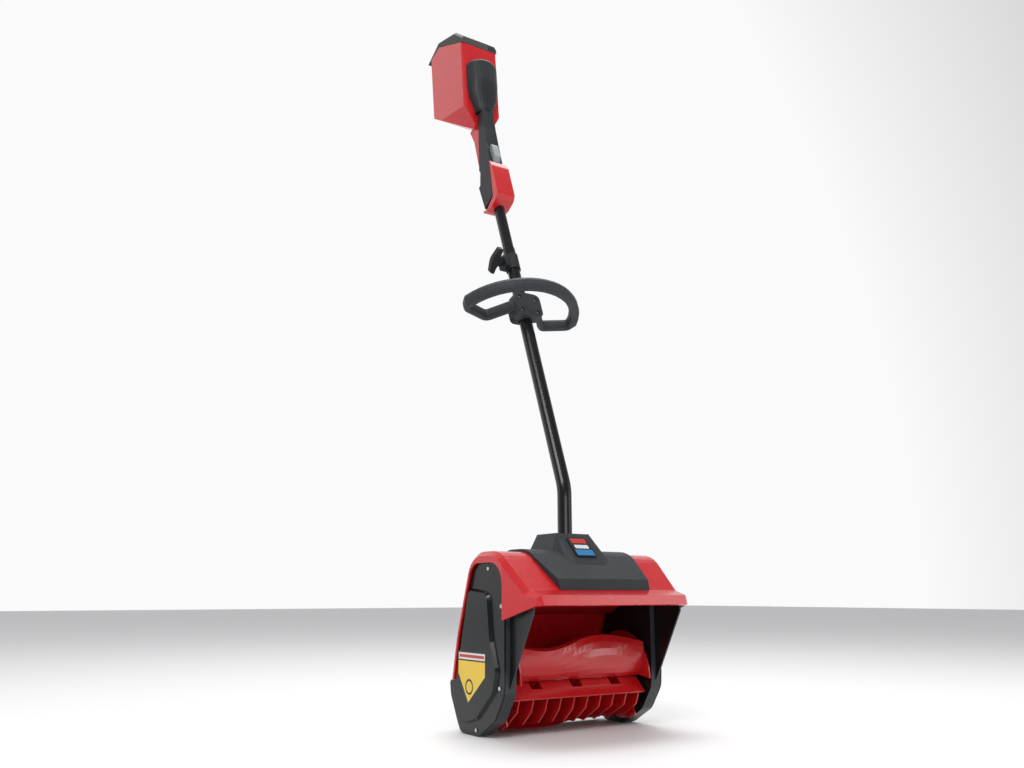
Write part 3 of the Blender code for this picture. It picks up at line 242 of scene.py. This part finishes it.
LOOKS = {
    "red": ["hood_shell", "nose_cover", "battery_housing"],
    "liner": ["chamber_liner"],
    "rotor": ["rotor_upper_paddle", "rotor_lower_paddle"],
    "cover": ["motor_cover"],
    "battery": ["battery_pack"],
    "loop": ["loop_handle"],
    "case": ["side_case_left", "side_case_right"],
    "gloss": ["belt_cover", "end_cover"],
    "matte": [
        "clamp_rear_half", "clamp_collar", "clamp_knob", "seam_ring", "trigger", "tube_socket",
        "scraper_blade", "battery_latch", "switch_block", "terminal_block", "motor_controller",
        "motor_pulley", "rotor_pulley", "label_plate",
    ],
    "boot": ["boot", "grip_left_half", "grip_right_half"],
    "tube": ["lower_tube", "upper_tube"],
    "paddle_grey": ["lockout_paddle"],
    "belt": ["drive_belt"],
    "steel": ["bearing_left", "bearing_right", "rotor_shaft", "motor_shaft", "knob_bolt"],
    "can": ["motor_can"],
}


def dress():
    """Gives each CAD node its finish."""
    for key, names in LOOKS.items():
        for name in names:
            obj = nodes[name]
            obj.data.materials.clear()
            obj.data.materials.append(finishes[key])
    for name, obj in nodes.items():
        if "screw" in name:
            obj.data.materials.clear()
            obj.data.materials.append(finishes["steel"])


SOFT_EDGES = {
    "hood_shell": 0.0012, "motor_cover": 0.0010, "battery_housing": 0.0015, "battery_pack": 0.0012,
    "nose_cover": 0.0012, "belt_cover": 0.0008, "end_cover": 0.0008, "side_case_left": 0.0007,
    "side_case_right": 0.0007, "loop_handle": 0.0010, "clamp_rear_half": 0.0010, "grip_left_half": 0.0008,
    "grip_right_half": 0.0008, "lockout_paddle": 0.0006, "trigger": 0.0006, "clamp_knob": 0.0012,
    "clamp_collar": 0.0006, "scraper_blade": 0.0005, "rotor_upper_paddle": 0.0005,
    "rotor_lower_paddle": 0.0005, "boot": 0.0008,
}


def bevel_edges(obj, name, width):
    bevel = obj.modifiers.new(name, "BEVEL")
    bevel.width = width
    bevel.segments = EDGE_SEGMENTS
    bevel.limit_method = "ANGLE"
    bevel.angle_limit = EDGE_ANGLE


def soften():
    for name, width in SOFT_EDGES.items():
        bevel_edges(nodes[name], "mould_edge", width)
        nodes[name].data.shade_smooth()
        nodes[name].data.set_sharp_from_angle(angle=SHARP_ANGLE)


# ---- Small pieces ----


def new_piece(name, bm, material, body, bevel=0.0):
    """A shown piece from a closed bmesh. It rides on a CAD body."""
    bmesh.ops.recalc_face_normals(bm, faces=bm.faces)
    mesh = bpy.data.meshes.new(name)
    bm.to_mesh(mesh)
    bm.free()
    mesh.materials.append(material)
    mesh.shade_smooth()
    mesh.set_sharp_from_angle(angle=SHARP_ANGLE)
    obj = bpy.data.objects.new(name, mesh)
    bpy.context.scene.collection.objects.link(obj)
    if bevel:
        bevel_edges(obj, "edge", bevel)
    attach(obj, body)


def slab(outline, origin, along, up, low, high):
    """A plate: its outline is (u, v) pairs on along and up, and it is low to high out of that plane."""
    out = along.cross(up)
    bm = bmesh.new()
    rows = [
        [bm.verts.new(origin + along * u + up * v + out * depth) for u, v in outline]
        for depth in (low, high)
    ]
    count = len(outline)
    for i in range(count):
        j = (i + 1) % count
        bm.faces.new((rows[0][i], rows[0][j], rows[1][j], rows[1][i]))
    bm.faces.new(rows[0][::-1])
    bm.faces.new(rows[1])
    return bm


def rounded_box(half_u, low_v, high_v, radius, steps=4):
    """A rectangle's outline with round corners, centred on u."""
    points = []
    for cu, cv, start in (
        (half_u - radius, low_v + radius, -90), (half_u - radius, high_v - radius, 0),
        (radius - half_u, high_v - radius, 90), (radius - half_u, low_v + radius, 180),
    ):
        for k in range(steps + 1):
            angle = math.radians(start + 90 * k / steps)
            points.append((cu + radius * math.cos(angle), cv + radius * math.sin(angle)))
    return points


def ring_of(centre, outer, inner, steps=28):
    """A flat ring's outline, as one loop with a thin bridge."""
    turns = [math.radians(360 * k / steps) for k in range(steps + 1)]
    places = [(outer, a) for a in turns] + [(inner, a) for a in turns[::-1]]
    return [(centre[0] + radius * math.cos(a), centre[1] + radius * math.sin(a)) for radius, a in places]


def ink(name, color, roughness, wear, coat, mottle=0.05):
    """A printed film's finish."""
    return finish(name, color, roughness, grain=900.0, mottle=mottle, wear=wear, coat=coat)


def cover_film(way, outline, height):
    """A film on a side cover. Its outline is (y, z), from the rotor's axis and the ground."""
    cover = "belt_cover" if way < 0 else "end_cover"
    face = max(abs(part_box(cover)[0][0]), abs(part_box(cover)[1][0]))
    origin = Vector((way * face, ROTOR_AT.y, 0))
    ordered = [(way * y, z) for y, z in outline]
    if way < 0:
        ordered = ordered[::-1]
    return slab(ordered, origin, Vector((0, way, 0)), Vector((0, 0, 1)), COVER_FILM_FOOT, height)


def make_cover_labels():
    """A plain yellow pentagon with a pale header on each side cover, with no wording."""
    yellow = ink("label_yellow", (0.75, 0.50, 0.02), 0.35, 0.15, 0.2)
    pale = ink("label_pale", (0.70, 0.66, 0.60), 0.35, 0.15, 0.2)
    dark = ink("label_dark", (0.02, 0.02, 0.02), 0.35, 0.15, 0.2)
    red = ink("label_red", (0.45, 0.02, 0.02), 0.35, 0.15, 0.2)
    border = [(0.066, 0.136), (0.066, 0.098), (0.030, 0.050), (-0.026, 0.096), (-0.026, 0.136)]
    field = [(0.064, 0.120), (0.064, 0.0990), (0.0298, 0.0530), (-0.024, 0.0970), (-0.024, 0.120)]
    header = [(0.0635, 0.1335), (0.0635, 0.1225), (-0.0235, 0.1225), (-0.0235, 0.1335)]
    bar = [(0.061, 0.1305), (0.061, 0.1255), (-0.021, 0.1255), (-0.021, 0.1305)]
    ring = ring_of(RING_CENTRE, RING_OUTER, RING_INNER)
    films = (
        ("edge", border, COVER_EDGE_FILM, dark),
        ("field", field, COVER_FIELD_FILM, yellow),
        ("header", header, COVER_FIELD_FILM, pale),
        ("bar", bar, COVER_PRINT_FILM, red),
        ("ring", ring, COVER_PRINT_FILM, dark),
    )
    for side, way in (("left", -1), ("right", 1)):
        for kind, outline, height, paint in films:
            new_piece(f"label_{kind}_{side}", cover_film(way, outline, height), paint, "head")


def make_pod_label():
    """Plain red, pale and blue patches on the pod's label plate, with no name or number."""
    low, high = (Vector(corner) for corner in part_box("label_plate"))
    slope = Vector((0, high.y - low.y, high.z - low.z)).normalized()
    along = Vector((1, 0, 0))
    origin = Vector((0, low.y, low.z)) + along.cross(slope) * PLATE_STANDOFF
    film = ink("pod_film", (0.020, 0.022, 0.026), 0.25, 0.1, 0.3, mottle=0.1)
    red = ink("pod_red", (0.50, 0.03, 0.02), 0.3, 0.1, 0.3)
    blue = ink("pod_blue", (0.02, 0.18, 0.42), 0.3, 0.1, 0.3)
    pale = ink("pod_pale", (0.65, 0.68, 0.72), 0.3, 0.1, 0.3)
    start = PLATE_MARGIN
    end = (high - low).yz.length - PLATE_MARGIN
    films = (
        ("pod_film", rounded_box(0.0215, start, end, 0.005), PLATE_FILM, film),
        ("pod_red_patch", rounded_box(0.0165, end - 0.015, end - 0.003, 0.002), PLATE_PRINT, red),
        ("pod_pale_patch", rounded_box(0.0150, start + 0.019, end - 0.019, 0.002), PLATE_PRINT, pale),
        ("pod_blue_patch", rounded_box(0.0190, start + 0.002, start + 0.016, 0.002), PLATE_PRINT, blue),
    )
    for name, outline, depths, paint in films:
        new_piece(name, slab(outline, origin, along, slope, *depths), paint, "head")


def make_lip_band():
    """An empty raised band along the middle of the lip."""
    base = Vector((0, HOOD_LOW.y + BAND_INSET, HOOD_HIGH.z - BAND_DROP))
    outline = [(-0.090, 0.0015), (0.090, 0.0015), (0.084, 0.0150), (-0.084, 0.0150)]
    band = slab(outline, base, Vector((1, 0, 0)), BAND_SLOPE.normalized(), *BAND_DEPTHS)
    new_piece("lip_band", band, finishes["red"], "head", BAND_EDGE)


# ---- Stage ----


def area_light(name, at, aim, size, power):
    data = bpy.data.lights.new(name, "AREA")
    data.shape = "RECTANGLE"
    data.size, data.size_y = size
    data.energy = power
    lamp = bpy.data.objects.new(name, data)
    bpy.context.scene.collection.objects.link(lamp)
    lamp.location = at
    lamp.rotation_euler = (Vector(aim) - Vector(at)).to_track_quat("-Z", "Y").to_euler()


def make_floor():
    bm = bmesh.new()
    reach = FLOOR_REACH
    corners = [(-reach, -reach, 0), (reach, -reach, 0), (reach, reach, 0), (-reach, reach, 0)]
    bm.faces.new([bm.verts.new(corner) for corner in corners])
    mesh = bpy.data.meshes.new("floor")
    bm.to_mesh(mesh)
    bm.free()
    floor = bpy.data.objects.new("floor", mesh)
    bpy.context.scene.collection.objects.link(floor)
    pale = bpy.data.materials.new("floor_pale")
    pale.use_nodes = True
    shader = pale.node_tree.nodes["Principled BSDF"]
    shader.inputs["Base Color"].default_value = (0.92, 0.92, 0.92, 1)
    shader.inputs["Roughness"].default_value = 0.6
    mesh.materials.append(pale)
    floor.location.z = -FLOOR_DROP


def make_world():
    """A soft surround: pale behind the shovel and darker in front, which gives the gloss some shape."""
    world = bpy.data.worlds.new("studio")
    bpy.context.scene.world = world
    world.use_nodes = True
    tree = world.node_tree
    background = tree.nodes["Background"]
    way = tree.nodes.new("ShaderNodeTexCoord").outputs["Generated"]
    split = tree.nodes.new("ShaderNodeSeparateXYZ")
    tree.links.new(way, split.inputs[0])
    shade = ramp(tree, split.outputs["Y"], 0.0, 0.55, (0.22, 0.22, 0.23, 1), (0.96, 0.96, 0.97, 1))
    tree.links.new(shade, background.inputs["Color"])
    background.inputs["Strength"].default_value = 1.0


def make_stage():
    make_floor()
    make_world()
    area_light("key", (-1.9, -1.9, 2.4), (0, -0.1, 0.6), (1.3, 1.3), 52)
    area_light("fill", (2.0, -2.2, 1.2), (0, 0, 0.5), (1.0, 1.8), 16)
    area_light("top", (0.3, 0.3, 3.0), (0, 0, 0.5), (1.6, 1.6), 45)
    area_light("low_front", (-0.6, -3.0, 0.5), (0, 0, 0.15), (1.2, 0.5), 8)
    bpy.context.scene.view_settings.view_transform = "Standard"


def make_camera():
    """A low view from the front left, with the lens tilted up."""
    data = bpy.data.cameras.new("camera")
    data.sensor_width = 36.0
    data.lens = 32.08
    data.clip_end = 60
    camera = bpy.data.objects.new("camera", data)
    bpy.context.scene.collection.objects.link(camera)
    camera.location = (-0.9988, ROTOR_AT.y - 1.3756, 0.230)
    camera.rotation_euler = (math.radians(103.02), 0, math.radians(-33))
    bpy.context.scene.camera = camera


make_camera()
make_stage()
dress()
soften()
make_cover_labels()
make_pod_label()
make_lip_band()
